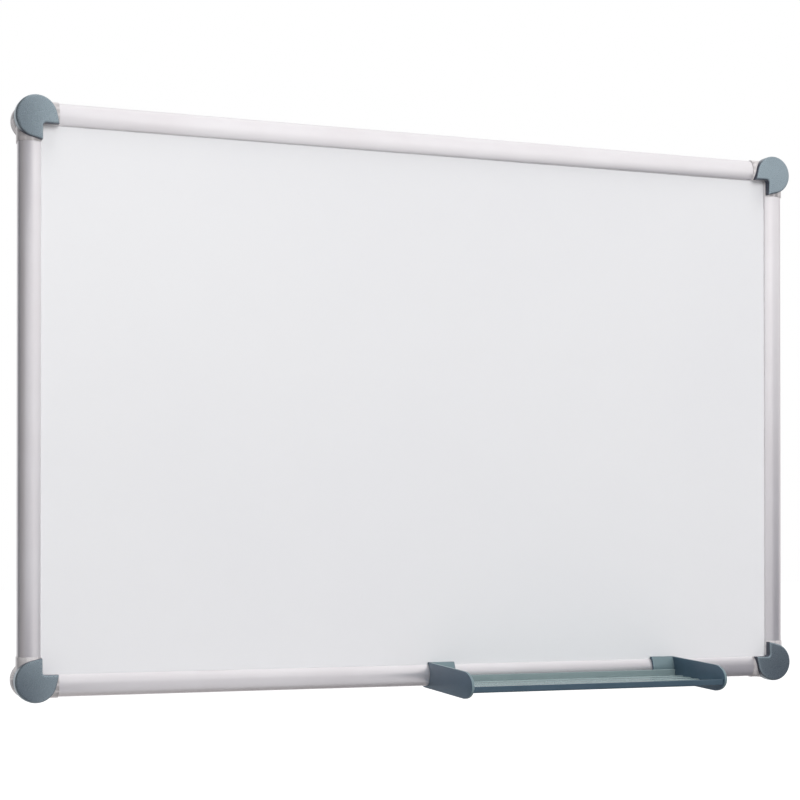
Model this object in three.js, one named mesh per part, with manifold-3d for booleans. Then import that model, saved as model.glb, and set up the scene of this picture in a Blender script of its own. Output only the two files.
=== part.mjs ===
// A magnetic whiteboard: a steel-faced panel in an aluminium frame with capped, moulded corners, and a
// pen tray that clips on the lower bar and slides along it. Millimetres. In the drawing, x runs to the
// right, y up and z out from the wall; the finished group is stood up so that +Z is up and the wall is
// the plane y = 0 behind the board, with the origin in the middle of that plane.
import * as THREE from 'three';
import { mergeVertices } from 'three/addons/utils/BufferGeometryUtils.js';
import Module from 'manifold-3d';

const wasm = await Module();
wasm.setup();

// Whole board
const BOARD_WIDTH = 900;
const BOARD_HEIGHT = 600;

// Frame bar, drawn from its outer edge inwards and from the wall outwards
const FRAME_WIDTH = 23;
const WALL_GAP = 3;
const SHOULDER_RISE = 21;
const CROWN_RISE = 8;
const CROWN_INSET = 13;
const BACK_INSET = 8;
const LIP_DROP = 4;
const LIP_WALL = 1.7;
const FRAME_WALL = 1.5;
const GROOVE_DEPTH = 6;
const LEDGE_WALL = 1.6;

// Panel
const SHEET_THICKNESS = 0.6;
const CORE_THICKNESS = 9.6;
const BACKING_THICKNESS = 0.6;
const GLUE_LINE = 0.1;
const PANEL_SNIP = 11.5;
const PANEL_FIT = 0.3;
const PANEL_EDGE_FIT = 0.5;

// Corners
const CORNER_INSET = 16.5;
const CAP_RADIUS = 21.4;
const CAP_STAND = 6.5;
const CAP_PLATE = 2.7;
const CAP_WALL = 1.8;
const CAP_EDGE = 0.9;
const LOBE_REACH = 23.5;
const COLLAR_REACH = 24.3;
const COLLAR_WALL = 0.6;
const NOTCH_FILLET = 3;
const CAP_FIT = 0.3;
const BODY_STEP = 0.8;
const BODY_INSET = 2;
const BAR_START = 8;
const BAR_FIT = 0.3;
const PAD_FIT = 0.3;

// Corner legs in the hollow bars
const LEG_LENGTH = 42;
const LEG_WALL = 2.2;
const LEG_FIT = 0.3;
const LEG_ROOT = 1;
const LEG_HOLLOW_START = 4;

// Wall screw hole, and the cap's prongs in their holes
const WALL_HOLE_RADIUS = 2.7;
const WALL_SINK_RADIUS = 7;
const WALL_SINK_DEPTH = 4;
const PRONG_RADIUS = 2;
const PRONG_LENGTH = 9;
const PRONG_CIRCLE = 13.5;
const PRONG_FIT = 0.3;
const PRONG_OFF_AXIS = 2.2;
const PRONG_END_ROOM = 2;

// Lightening pockets in front of the corner body
const POCKET_INNER = 9;
const POCKET_OUTER = 17.5;
const POCKET_DEPTH = 18;
const POCKET_START_SHARE = 0.1;
const POCKET_END_SHARE = 0.36;

// Leg screws, from behind
const SCREW_PLACE = 22;
const SCREW_ACROSS = 9;
const SCREW_RADIUS = 1.6;
const SCREW_FIT = 0.3;
const SCREW_LENGTH = 9;
const SCREW_HEAD_RADIUS = 3.5;
const SCREW_HEAD_HEIGHT = 2.2;
const SCREW_SEAT_FIT = 0.1;
const SCREW_SLOT_WIDTH = 0.9;
const SCREW_SLOT_LENGTH = 3.6;
const SCREW_SLOT_DEPTH = 1.1;

// Pen tray
const TRAY_LENGTH = 306;
const TRAY_LEFT = -2.2;
const TRAY_REACH = 140;
const CLIP_FIT = 0.3;
const CLIP_WALL = 2.4;
const CLIP_WIDTH = 30;
const CLIP_HOOK = 9;
const CLIP_SHEET_FIT = 0.4;
const CHEEK_WALL = 3;
const CHEEK_ROUND = 22;
const CHEEK_FALL = 4;
const CHEEK_DROP = 7;
const CHEEK_NOSE = 6.5;
const TROUGH_RISE = 3.6;
const TROUGH_FALL = 3.6;
const TROUGH_HEIGHT = 7.8;
const TROUGH_LIP = 6.7;
const TROUGH_WALL = 1.7;
const TROUGH_FLOOR = 1.6;
const TROUGH_BACK_FIT = 0.3;
const TROUGH_NOSE_SETBACK = 2.8;
const TROUGH_EDGE = 1.8;
const TROUGH_RIBS = 5;
const TROUGH_RIB_WIDTH = 1.6;
const TROUGH_RIB_HEIGHT = 0.7;
const TROUGH_TONGUE = 0.9;
const TROUGH_FIT = 0.3;

// Overrun of every cut
const OVERRUN = 5;

// Fineness of curves, as counts
const ARC_STEPS = 6;
const CURVE_STEPS = 6;
const LEG_STEPS = 4;
const HOLE_SIDES = 12;
const SCREW_SIDES = 16;
const PAD_SIDES = 48;
const CAP_EDGE_STEPS = 3;

// Heights above the wall that follow from these
const shoulderHeight = WALL_GAP + SHOULDER_RISE;
const crownHeight = shoulderHeight + CROWN_RISE;
const lipHeight = crownHeight - LIP_DROP;
const grooveFront = lipHeight - LIP_WALL;
const sheetFront = grooveFront - PANEL_FIT;
const sheetBack = sheetFront - SHEET_THICKNESS;
const coreFront = sheetBack - GLUE_LINE;
const coreBack = coreFront - CORE_THICKNESS;
const backingFront = coreBack - GLUE_LINE;
const panelBack = backingFront - BACKING_THICKNESS;
const grooveBack = panelBack - PANEL_FIT;
const ledgeBack = grooveBack - LEDGE_WALL;
const padFront = WALL_GAP - PAD_FIT;
const bodyFront = lipHeight - BODY_STEP;
const capFace = crownHeight + CAP_STAND;
const capUnder = capFace - CAP_PLATE;
const skirtBottom = bodyFront + CAP_FIT;

// Places across a bar, and from the middle of a corner
const grooveFloor = FRAME_WIDTH - GROOVE_DEPTH;
const chamberEdge = grooveFloor - FRAME_WALL;
const panelInset = grooveFloor + PANEL_EDGE_FIT;
const notch = FRAME_WIDTH - CORNER_INSET;
const panelCorner = panelInset - CORNER_INSET;

// Finishes
const aluminium = new THREE.MeshStandardMaterial({ color: 0xd3d3d6, roughness: 0.38, metalness: 0.85 });
const steelSheet = new THREE.MeshStandardMaterial({ color: 0xf1f2f4, roughness: 0.22, metalness: 0 });
const coreBoard = new THREE.MeshStandardMaterial({ color: 0xa9855a, roughness: 0.9, metalness: 0 });
const backing = new THREE.MeshStandardMaterial({ color: 0xb9bcbf, roughness: 0.5, metalness: 0.7 });
const bodyPlastic = new THREE.MeshStandardMaterial({ color: 0xb4aeab, roughness: 0.5, metalness: 0.2 });
const capPlastic = new THREE.MeshStandardMaterial({ color: 0x66757f, roughness: 0.5, metalness: 0 });
const zinc = new THREE.MeshStandardMaterial({ color: 0xb8bcc0, roughness: 0.35, metalness: 0.9 });

// A closed geometry as a solid that can be joined and cut
function solid(geometry) {
  const bare = geometry.clone();
  bare.deleteAttribute('normal');
  bare.deleteAttribute('uv');
  const merged = mergeVertices(bare);
  const vertProperties = new Float32Array(merged.attributes.position.array);
  const triVerts = new Uint32Array(merged.index.array);
  return new wasm.Manifold(new wasm.Mesh({ numProp: 3, vertProperties, triVerts }));
}

// The solid back as a geometry
function surface(body) {
  const cut = body.getMesh();
  const geometry = new THREE.BufferGeometry();
  geometry.setAttribute('position', new THREE.BufferAttribute(new Float32Array(cut.vertProperties), 3));
  geometry.setIndex(new THREE.BufferAttribute(new Uint32Array(cut.triVerts), 1));
  geometry.computeVertexNormals();
  return geometry;
}

function part(name, geometry, material) {
  const mesh = new THREE.Mesh(geometry, material);
  mesh.name = name;
  return mesh;
}

// A shape drawn in x and y, thickened from one height to another
function slab(shape, from, to) {
  const geometry = new THREE.ExtrudeGeometry(shape, {
    depth: to - from,
    bevelEnabled: false,
    curveSegments: ARC_STEPS,
  });
  return geometry.translate(0, 0, from);
}

// A section drawn across a bar, x inwards and y out from the wall, run along x from one place to another
function runAlongX(shape, from, to, steps = CURVE_STEPS) {
  const axes = new THREE.Matrix4().makeBasis(
    new THREE.Vector3(0, 1, 0),
    new THREE.Vector3(0, 0, 1),
    new THREE.Vector3(1, 0, 0),
  );
  const geometry = new THREE.ExtrudeGeometry(shape, {
    depth: to - from,
    bevelEnabled: false,
    curveSegments: steps,
  });
  return geometry.applyMatrix4(axes).translate(from, 0, 0);
}

// The same section run along y
function runAlongY(shape, from, to, steps = CURVE_STEPS) {
  const geometry = new THREE.ExtrudeGeometry(shape, {
    depth: to - from,
    bevelEnabled: false,
    curveSegments: steps,
  });
  return geometry.rotateX(Math.PI / 2).translate(0, to, 0);
}

// A round bar or hole square to the wall
function post(x, y, radius, from, to, sides = HOLE_SIDES) {
  const geometry = new THREE.CylinderGeometry(radius, radius, to - from, sides);
  return geometry.rotateX(Math.PI / 2).translate(x, y, (from + to) / 2);
}

function rectangle(left, bottom, right, top) {
  const shape = new THREE.Shape();
  shape.moveTo(left, bottom);
  shape.lineTo(right, bottom);
  shape.lineTo(right, top);
  shape.lineTo(left, top);
  return shape;
}

// The rounded front and outer side of a bar, from the back round to the inner edge, grown by a clearance
function addBarFront(shape, grow) {
  const half = Math.PI / 2;
  const side = BACK_INSET + grow;
  const rise = SHOULDER_RISE + grow;
  shape.lineTo(BACK_INSET, WALL_GAP - grow);
  shape.absellipse(BACK_INSET, shoulderHeight, side, rise, -half, -Math.PI, true);
  shape.absellipse(CROWN_INSET, shoulderHeight, CROWN_INSET + grow, CROWN_RISE + grow, Math.PI, half, true);
  const middle = (CROWN_INSET + FRAME_WIDTH) / 2;
  shape.quadraticCurveTo(middle, crownHeight + grow, FRAME_WIDTH + grow, lipHeight + grow);
}

// All the space that a bar takes, without its groove and chamber
function barEnvelope(grow) {
  const shape = new THREE.Shape();
  shape.moveTo(FRAME_WIDTH + grow, WALL_GAP - grow);
  addBarFront(shape, grow);
  return shape;
}

// The hollow inside a bar, or what fits in it with some room
function chamberOutline(room) {
  const inset = FRAME_WALL + room;
  const edge = chamberEdge - room;
  const half = Math.PI / 2;
  const fallShare = (edge - CROWN_INSET) / (FRAME_WIDTH - CROWN_INSET);
  const shape = new THREE.Shape();
  const side = BACK_INSET - inset;
  const rise = SHOULDER_RISE - inset;
  shape.moveTo(edge, WALL_GAP + inset);
  shape.lineTo(BACK_INSET, WALL_GAP + inset);
  shape.absellipse(BACK_INSET, shoulderHeight, side, rise, -half, -Math.PI, true);
  shape.absellipse(CROWN_INSET, shoulderHeight, CROWN_INSET - inset, CROWN_RISE - inset, Math.PI, half, true);
  shape.lineTo(edge, crownHeight - inset - LIP_DROP * fallShare * fallShare);
  return shape;
}

// The extruded section: rounded front, hollow chamber, and a groove for the panel between lip and ledge
function barSection() {
  const shape = new THREE.Shape();
  shape.moveTo(grooveFloor, WALL_GAP);
  addBarFront(shape, 0);
  shape.lineTo(FRAME_WIDTH, grooveFront);
  shape.lineTo(grooveFloor, grooveFront);
  shape.lineTo(grooveFloor, grooveBack);
  shape.lineTo(FRAME_WIDTH, grooveBack);
  shape.lineTo(FRAME_WIDTH, ledgeBack);
  shape.lineTo(grooveFloor, ledgeBack);
  shape.holes.push(new THREE.Path(chamberOutline(0).getPoints(CURVE_STEPS).reverse()));
  return shape;
}

// One bar of the frame for a side of the given length, lying along x with its outer edge on y = 0
function frameBar(name, sideLength) {
  const end = sideLength / 2 - CORNER_INSET - BAR_START;
  let bar = solid(runAlongX(barSection(), -end, end));
  for (const place of [-end + SCREW_PLACE, end - SCREW_PLACE]) {
    const low = WALL_GAP - OVERRUN;
    const high = WALL_GAP + FRAME_WALL * 2;
    bar = bar.subtract(solid(post(place, SCREW_ACROSS, SCREW_RADIUS + SCREW_FIT, low, high)));
  }
  return part(name, surface(bar), aluminium);
}

// Panel outline with its corners snipped off
function panelOutline(right, top, snip) {
  const shape = new THREE.Shape();
  shape.moveTo(-right + snip, -top);
  shape.lineTo(right - snip, -top);
  shape.lineTo(right, -top + snip);
  shape.lineTo(right, top - snip);
  shape.lineTo(right - snip, top);
  shape.lineTo(-right + snip, top);
  shape.lineTo(-right, top - snip);
  shape.lineTo(-right, -top + snip);
  return shape;
}

function panelLayer(name, back, front, material) {
  const outline = panelOutline(BOARD_WIDTH / 2 - panelInset, BOARD_HEIGHT / 2 - panelInset, PANEL_SNIP);
  return part(name, slab(outline, back, front), material);
}

// Corner outline round the wall screw: a disc with a straight-sided lobe along each bar, and a square notch
// that follows the inner edges of the bars. The board lies towards +x and +y.
function cornerOutline(inset) {
  const radius = CAP_RADIUS - inset;
  const edge = notch - inset;
  const reach = LOBE_REACH - inset;
  const fillet = NOTCH_FILLET + inset;
  const touch = Math.atan2(reach, edge) + Math.acos(radius / Math.hypot(reach, edge));
  const shape = new THREE.Shape();
  shape.moveTo(edge, reach);
  shape.absarc(0, 0, radius, touch, Math.PI, false);
  shape.absarc(0, 0, radius, Math.PI, Math.PI * 1.5, false);
  shape.absarc(0, 0, radius, Math.PI * 1.5, Math.PI * 2.5 - touch, false);
  shape.lineTo(reach, edge);
  shape.absarc(edge + fillet, edge + fillet, fillet, Math.PI * 1.5, Math.PI, true);
  return shape;
}

// Middles of the cap's prongs: one on the corner's diagonal and one beside each bar
function prongPlaces() {
  const diagonal = PRONG_CIRCLE * Math.SQRT1_2;
  return [
    [-diagonal, -diagonal],
    [-PRONG_CIRCLE, PRONG_OFF_AXIS],
    [PRONG_OFF_AXIS, -PRONG_CIRCLE],
  ];
}

// Both bars at a corner, as the space they take with some room round them
function barSpace(grow) {
  const from = BAR_START - grow;
  const to = BAR_START + CAP_RADIUS + LEG_LENGTH;
  const lying = runAlongX(barEnvelope(grow), from, to).translate(0, -CORNER_INSET, 0);
  const standing = runAlongY(barEnvelope(grow), from, to).translate(-CORNER_INSET, 0, 0);
  return solid(lying).add(solid(standing));
}

// The body's collar over both bars at a corner, from a place along them to the straight end: it follows the
// bar's front as far as the given place across the bar, and lies below the given height above the wall
function barCollar(from, across, high) {
  const grown = BAR_FIT + COLLAR_WALL;
  const low = padFront;
  const band = rectangle(-grown, low, across, high);
  const lying = solid(runAlongX(barEnvelope(grown), from, COLLAR_REACH))
    .intersect(solid(runAlongX(band, from, COLLAR_REACH)));
  const standing = solid(runAlongY(barEnvelope(grown), from, COLLAR_REACH))
    .intersect(solid(runAlongY(band, from, COLLAR_REACH)));
  return lying.translate(0, -CORNER_INSET, 0).add(standing.translate(-CORNER_INSET, 0, 0));
}

// The two hollow legs that plug into the bars, with pilot holes for their screws
function cornerLegs() {
  const root = BAR_START - BAR_FIT - LEG_ROOT;
  const end = BAR_START + LEG_LENGTH;
  const hollow = BAR_START + LEG_HOLLOW_START;
  const outer = chamberOutline(LEG_FIT);
  const inner = chamberOutline(LEG_FIT + LEG_WALL);
  const past = end + OVERRUN;
  const lying = solid(runAlongX(outer, root, end, LEG_STEPS).translate(0, -CORNER_INSET, 0))
    .subtract(solid(runAlongX(inner, hollow, past, LEG_STEPS).translate(0, -CORNER_INSET, 0)));
  const standing = solid(runAlongY(outer, root, end, LEG_STEPS).translate(-CORNER_INSET, 0, 0))
    .subtract(solid(runAlongY(inner, hollow, past, LEG_STEPS).translate(-CORNER_INSET, 0, 0)));
  let legs = lying.add(standing);
  for (const [x, y] of screwPlaces()) {
    const high = WALL_GAP + FRAME_WALL + LEG_WALL * 2;
    legs = legs.subtract(solid(post(x, y, SCREW_RADIUS + SCREW_FIT, WALL_GAP, high)));
  }
  return legs;
}

// Where a corner's two leg screws go
function screwPlaces() {
  const along = BAR_START + SCREW_PLACE;
  const across = SCREW_ACROSS - CORNER_INSET;
  return [
    [along, across],
    [across, along],
  ];
}

// The space of the snipped panel corner in the corner body
function panelSpace() {
  const low = panelCorner - PANEL_EDGE_FIT;
  const far = CAP_RADIUS + OVERRUN;
  const snip = PANEL_SNIP;
  const shape = new THREE.Shape();
  shape.moveTo(low + snip, low);
  shape.lineTo(far, low);
  shape.lineTo(far, far);
  shape.lineTo(low, far);
  shape.lineTo(low, low + snip);
  return slab(shape, grooveBack, grooveFront);
}

// A pocket between two radii, over a share of the outer quarter turn, counted from either side
function pocketShape(fromShare, toShare) {
  const start = Math.PI * (1 + fromShare / 2);
  const end = Math.PI * (1 + toShare / 2);
  const shape = new THREE.Shape();
  shape.absarc(0, 0, POCKET_OUTER, start, end, false);
  shape.absarc(0, 0, POCKET_INNER, end, start, true);
  return shape;
}

// Moulded corner body: a wall pad, the block that the bars plug into, its collars and its two legs
function cornerBody(name) {
  const pad = solid(post(0, 0, CAP_RADIUS - BODY_INSET, 0, padFront, PAD_SIDES));
  const block = solid(slab(cornerOutline(BODY_INSET), padFront, bodyFront))
    .add(barCollar(0, CROWN_INSET, bodyFront))
    .add(barCollar(BAR_START, FRAME_WIDTH, capFace));
  let body = block.subtract(barSpace(BAR_FIT)).add(pad).add(cornerLegs());
  body = body.subtract(solid(panelSpace()));
  body = body.subtract(solid(post(0, 0, WALL_HOLE_RADIUS, -OVERRUN, bodyFront + OVERRUN)));
  const sinkFloor = bodyFront - WALL_SINK_DEPTH;
  body = body.subtract(solid(post(0, 0, WALL_SINK_RADIUS, sinkFloor, bodyFront + OVERRUN)));
  const prongFloor = bodyFront - PRONG_LENGTH - PRONG_END_ROOM;
  for (const [x, y] of prongPlaces()) {
    body = body.subtract(solid(post(x, y, PRONG_RADIUS + PRONG_FIT, prongFloor, bodyFront + OVERRUN)));
  }
  const pockets = [
    pocketShape(POCKET_START_SHARE, POCKET_END_SHARE),
    pocketShape(1 - POCKET_END_SHARE, 1 - POCKET_START_SHARE),
  ];
  for (const pocket of pockets) {
    body = body.subtract(solid(slab(pocket, bodyFront - POCKET_DEPTH, bodyFront + OVERRUN)));
  }
  return part(name, surface(body), bodyPlastic);
}

// Clip-on cap: a thin shell with a rounded front edge, fitted over the body's collars, with three prongs
function cornerCap(name) {
  const rounded = new THREE.ExtrudeGeometry(cornerOutline(0), {
    depth: capFace - skirtBottom,
    bevelThickness: CAP_EDGE,
    bevelSize: CAP_EDGE,
    bevelOffset: -CAP_EDGE,
    bevelSegments: CAP_EDGE_STEPS,
    curveSegments: ARC_STEPS,
  }).translate(0, 0, skirtBottom - CAP_EDGE);
  const span = CAP_RADIUS * 2;
  const below = solid(slab(rectangle(-span, -span, span, span), skirtBottom - span, skirtBottom));
  const inside = solid(slab(cornerOutline(CAP_WALL), skirtBottom - OVERRUN, capUnder));
  const collared = barSpace(BAR_FIT + COLLAR_WALL + CAP_FIT);
  let cap = solid(rounded).subtract(below).subtract(inside).subtract(collared);
  for (const [x, y] of prongPlaces()) {
    cap = cap.add(solid(post(x, y, PRONG_RADIUS, bodyFront - PRONG_LENGTH, capUnder + CAP_EDGE)));
  }
  return part(name, surface(cap), capPlastic);
}

// Pan-head screw, turned from its profile, with a cross recess; its head points to the wall
function legScrew(name, x, y) {
  const seat = WALL_GAP - SCREW_SEAT_FIT;
  const top = seat - SCREW_HEAD_HEIGHT;
  const flatShare = 0.7;
  const roundShare = 0.94;
  const roundHeightShare = 0.4;
  const profile = [
    new THREE.Vector2(0, top),
    new THREE.Vector2(SCREW_HEAD_RADIUS * flatShare, top),
    new THREE.Vector2(SCREW_HEAD_RADIUS * roundShare, top + SCREW_HEAD_HEIGHT * roundHeightShare),
    new THREE.Vector2(SCREW_HEAD_RADIUS, seat),
    new THREE.Vector2(SCREW_RADIUS, seat),
    new THREE.Vector2(SCREW_RADIUS, seat + SCREW_LENGTH - SCREW_RADIUS),
    new THREE.Vector2(0, seat + SCREW_LENGTH),
  ];
  const turned = new THREE.LatheGeometry(profile, SCREW_SIDES).rotateX(Math.PI / 2);
  const long = SCREW_SLOT_LENGTH / 2;
  const wide = SCREW_SLOT_WIDTH / 2;
  const low = top - OVERRUN;
  const high = top + SCREW_SLOT_DEPTH;
  const cross = solid(slab(rectangle(-long, -wide, long, wide), low, high))
    .add(solid(slab(rectangle(-wide, -long, wide, long), low, high)));
  const screw = part(name, surface(solid(turned).subtract(cross)), zinc);
  screw.position.set(x, y, 0);
  return screw;
}

// The part of the section plane in which a tray clip wraps the bar: over the lip, and down to the hook
function clipReach() {
  const far = FRAME_WIDTH + TRAY_REACH;
  const shape = new THREE.Shape();
  shape.moveTo(-far, CLIP_HOOK);
  shape.lineTo(CROWN_INSET / 2, CLIP_HOOK);
  shape.lineTo(CROWN_INSET / 2, sheetFront + CLIP_SHEET_FIT);
  shape.lineTo(far, sheetFront + CLIP_SHEET_FIT);
  shape.lineTo(far, far);
  shape.lineTo(-far, far);
  return shape;
}

// Side view of a tray cheek, drawn from the bar's outer edge upwards and out from the wall
function cheekOutline() {
  const grown = CLIP_FIT + CLIP_WALL;
  const roundShare = 0.55;
  const tangent = TRAY_REACH - CHEEK_ROUND * (1 - roundShare);
  const start = TRAY_REACH - CHEEK_ROUND;
  const top = FRAME_WIDTH + grown - CHEEK_FALL;
  const lower = CHEEK_NOSE - (CHEEK_NOSE + CHEEK_DROP) * roundShare;
  const upper = CHEEK_NOSE + (top - CHEEK_NOSE) * roundShare;
  const shape = new THREE.Shape();
  shape.moveTo(-grown, shoulderHeight);
  shape.lineTo(-CHEEK_DROP, start);
  shape.bezierCurveTo(-CHEEK_DROP, tangent, lower, TRAY_REACH, CHEEK_NOSE, TRAY_REACH);
  shape.bezierCurveTo(upper, TRAY_REACH, top, tangent, top, start);
  shape.lineTo(FRAME_WIDTH + grown, lipHeight);
  shape.lineTo(FRAME_WIDTH + grown, sheetFront + CLIP_SHEET_FIT);
  shape.lineTo(CROWN_INSET, sheetFront + CLIP_SHEET_FIT);
  shape.lineTo(CROWN_INSET, shoulderHeight);
  return shape;
}

// Section of the pen trough: back wall, a floor that falls towards the front lip, and ribs on the floor.
// Without ribs it is the space for the trough's end, as deep as the floor and its ribs together.
function troughOutline(grow, ribs) {
  const back = crownHeight + CLIP_FIT + CLIP_WALL + TROUGH_BACK_FIT - grow;
  const front = TRAY_REACH - TROUGH_NOSE_SETBACK + grow;
  const wall = TROUGH_WALL + grow * 2;
  const ribRoom = ribs > 0 ? 0 : TROUGH_RIB_HEIGHT;
  const base = (height) => TROUGH_RISE - grow - (TROUGH_FALL * (height - back)) / (front - back);
  const floor = (height) => base(height) + TROUGH_FLOOR + ribRoom + grow * 2;
  const backTop = TROUGH_RISE + TROUGH_HEIGHT + grow;
  const lipTop = TROUGH_RISE - TROUGH_FALL + TROUGH_LIP + grow;
  const shape = new THREE.Shape();
  shape.moveTo(base(back), back);
  shape.lineTo(backTop, back);
  shape.lineTo(backTop, back + wall);
  shape.lineTo(floor(back + wall), back + wall);
  const pitch = (front - back - wall * 2) / (ribs + 1);
  for (let rib = 1; rib <= ribs; rib += 1) {
    const middle = back + wall + rib * pitch;
    for (const [aside, rise] of [[-1 / 2, 0], [-1 / 4, 1], [1 / 4, 1], [1 / 2, 0]]) {
      const height = middle + TROUGH_RIB_WIDTH * aside;
      shape.lineTo(floor(height) + TROUGH_RIB_HEIGHT * rise, height);
    }
  }
  shape.lineTo(floor(front - wall), front - wall);
  shape.lineTo(lipTop, front - wall);
  shape.lineTo(lipTop, front);
  shape.lineTo(base(front) + TROUGH_EDGE, front);
  shape.quadraticCurveTo(base(front), front, base(front - TROUGH_EDGE), front - TROUGH_EDGE);
  return shape;
}

// Tray bracket: a rounded cheek and the clip that wraps the lower bar, with a seat for the trough's end.
// It is drawn with the cheek's outer face on x = 0 and the clip towards +x, or towards -x for the other end.
function trayBracket(name, side) {
  const span = (depth) => [Math.min(0, side * depth), Math.max(0, side * depth)];
  const [clipFrom, clipTo] = span(CLIP_WIDTH);
  const [cheekFrom, cheekTo] = span(CHEEK_WALL);
  const seatDepth = TROUGH_TONGUE + TROUGH_FIT;
  const seatFrom = side > 0 ? CHEEK_WALL - seatDepth : -CHEEK_WALL - OVERRUN;
  const seatTo = side > 0 ? CHEEK_WALL + OVERRUN : -CHEEK_WALL + seatDepth;
  const clip = solid(runAlongX(barEnvelope(CLIP_FIT + CLIP_WALL), clipFrom, clipTo))
    .intersect(solid(runAlongX(clipReach(), clipFrom, clipTo)));
  const cheek = solid(runAlongX(cheekOutline(), cheekFrom, cheekTo));
  const bar = solid(runAlongX(barEnvelope(CLIP_FIT), clipFrom - OVERRUN, clipTo + OVERRUN));
  const seat = solid(runAlongX(troughOutline(TROUGH_FIT, 0), seatFrom, seatTo));
  return part(name, surface(clip.add(cheek).subtract(bar).subtract(seat)), capPlastic);
}

// The tray as it hangs on the lower bar, drawn from the tray's left end
function penTray() {
  const tray = new THREE.Group();
  const inset = CHEEK_WALL - TROUGH_TONGUE;
  const trough = runAlongX(troughOutline(0, TROUGH_RIBS), inset, TRAY_LENGTH - inset);
  const right = trayBracket('tray_bracket_right', -1);
  right.position.x = TRAY_LENGTH;
  tray.add(trayBracket('tray_bracket_left', 1), right, part('tray_trough', trough, capPlastic));
  tray.position.set(TRAY_LEFT, -BOARD_HEIGHT / 2, 0);
  return tray;
}

const board = new THREE.Group();
board.add(
  panelLayer('writing_sheet', sheetBack, sheetFront, steelSheet),
  panelLayer('core_board', coreBack, coreFront, coreBoard),
  panelLayer('backing_sheet', panelBack, backingFront, backing),
);

// Bars and corners, turned round the board by quarter turns from the bottom and the lower left
const quarters = [
  { side: 'bottom', corner: 'bottom_left', length: BOARD_WIDTH, offset: BOARD_HEIGHT / 2 },
  { side: 'right', corner: 'bottom_right', length: BOARD_HEIGHT, offset: BOARD_WIDTH / 2 },
  { side: 'top', corner: 'top_right', length: BOARD_WIDTH, offset: BOARD_HEIGHT / 2 },
  { side: 'left', corner: 'top_left', length: BOARD_HEIGHT, offset: BOARD_WIDTH / 2 },
];
quarters.forEach(({ side, corner, length, offset }, turn) => {
  const quarter = new THREE.Group();
  quarter.rotation.z = (turn * Math.PI) / 2;
  const bar = frameBar(`frame_${side}`, length);
  bar.position.y = -offset;
  const knot = new THREE.Group();
  knot.position.set(-length / 2 + CORNER_INSET, -offset + CORNER_INSET, 0);
  knot.add(cornerBody(`corner_body_${corner}`), cornerCap(`corner_cap_${corner}`));
  screwPlaces().forEach(([x, y], index) => {
    knot.add(legScrew(`leg_screw_${corner}_${index + 1}`, x, y));
  });
  quarter.add(bar, knot);
  board.add(quarter);
});
board.add(penTray());

// Stand the drawing up: its y becomes +Z and its z, out from the wall, becomes -Y
board.rotation.x = Math.PI / 2;

const whiteboard = new THREE.Group();
whiteboard.add(board);

export default whiteboard;
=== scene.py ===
import math

import bmesh
import bpy
import numpy as np
from mathutils import Matrix, Vector
from mathutils.geometry import tessellate_polygon


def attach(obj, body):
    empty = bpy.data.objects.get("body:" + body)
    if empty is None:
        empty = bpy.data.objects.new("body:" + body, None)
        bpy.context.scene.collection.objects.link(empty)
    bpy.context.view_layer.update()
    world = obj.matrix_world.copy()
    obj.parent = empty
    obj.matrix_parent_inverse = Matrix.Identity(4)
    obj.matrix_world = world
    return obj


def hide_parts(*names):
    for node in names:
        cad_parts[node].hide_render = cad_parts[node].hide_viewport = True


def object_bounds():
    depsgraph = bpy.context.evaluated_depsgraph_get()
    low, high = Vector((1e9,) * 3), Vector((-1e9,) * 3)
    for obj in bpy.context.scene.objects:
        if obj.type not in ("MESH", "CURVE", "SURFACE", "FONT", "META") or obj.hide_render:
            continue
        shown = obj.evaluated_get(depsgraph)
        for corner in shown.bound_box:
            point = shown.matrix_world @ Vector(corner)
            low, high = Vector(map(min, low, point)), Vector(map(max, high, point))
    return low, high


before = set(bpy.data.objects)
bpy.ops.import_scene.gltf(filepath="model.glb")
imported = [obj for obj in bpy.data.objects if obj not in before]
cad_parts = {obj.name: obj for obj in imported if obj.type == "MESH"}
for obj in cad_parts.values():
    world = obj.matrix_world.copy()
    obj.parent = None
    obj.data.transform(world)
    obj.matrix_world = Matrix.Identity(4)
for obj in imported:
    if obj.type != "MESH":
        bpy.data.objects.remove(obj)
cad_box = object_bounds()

# The magnetic whiteboard as it hangs on a wall: +X right, +Y into the wall, +Z up, in metres.
MM = 0.001
CORNERS = ("bottom_left", "bottom_right", "top_right", "top_left")
SIDES = ("bottom", "right", "top", "left")

# Sizes of the object in millimetres, as in its solids
BOARD_WIDTH, BOARD_HEIGHT = 900, 600
FRAME_WIDTH = 23
WALL_GAP = 3
BACK_INSET, SHOULDER_RISE = 8, 21
CROWN_INSET, CROWN_RISE = 13, 8
LIP_DROP, LIP_WALL = 4, 1.7
GROOVE_DEPTH, LEDGE_WALL = 6, 1.6
PANEL_DEPTH, PANEL_FIT = 11, 0.3
CORNER_INSET = 16.5
CAP_RADIUS, CAP_STAND, CAP_PLATE, CAP_WALL = 21.4, 6.5, 2.7, 1.8
LOBE_REACH, COLLAR_WALL = 23.5, 0.6
NOTCH_FILLET = 3
BAR_START = 8
FIT = 0.3
BODY_FRONT = 27.2
PRONG_RADIUS, PRONG_LENGTH, PRONG_CIRCLE, PRONG_OFF_AXIS = 2, 9, 13.5, 2.2
PRONG_TIP, PRONG_TAPER = 1, 0.8
TRAY_LENGTH, TRAY_LEFT, TRAY_REACH = 306, -2.2, 140
CLIP_WALL, CLIP_WIDTH, CLIP_HOOK, CLIP_CLEAR, CLIP_SETBACK = 2.4, 30, 9, 0.4, 0.5
CHEEK_WALL, CHEEK_ROUND, CHEEK_FALL, CHEEK_DROP, CHEEK_NOSE = 3, 22, 4, 7, 6.5
CHEEK_CURVE = 0.55
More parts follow.
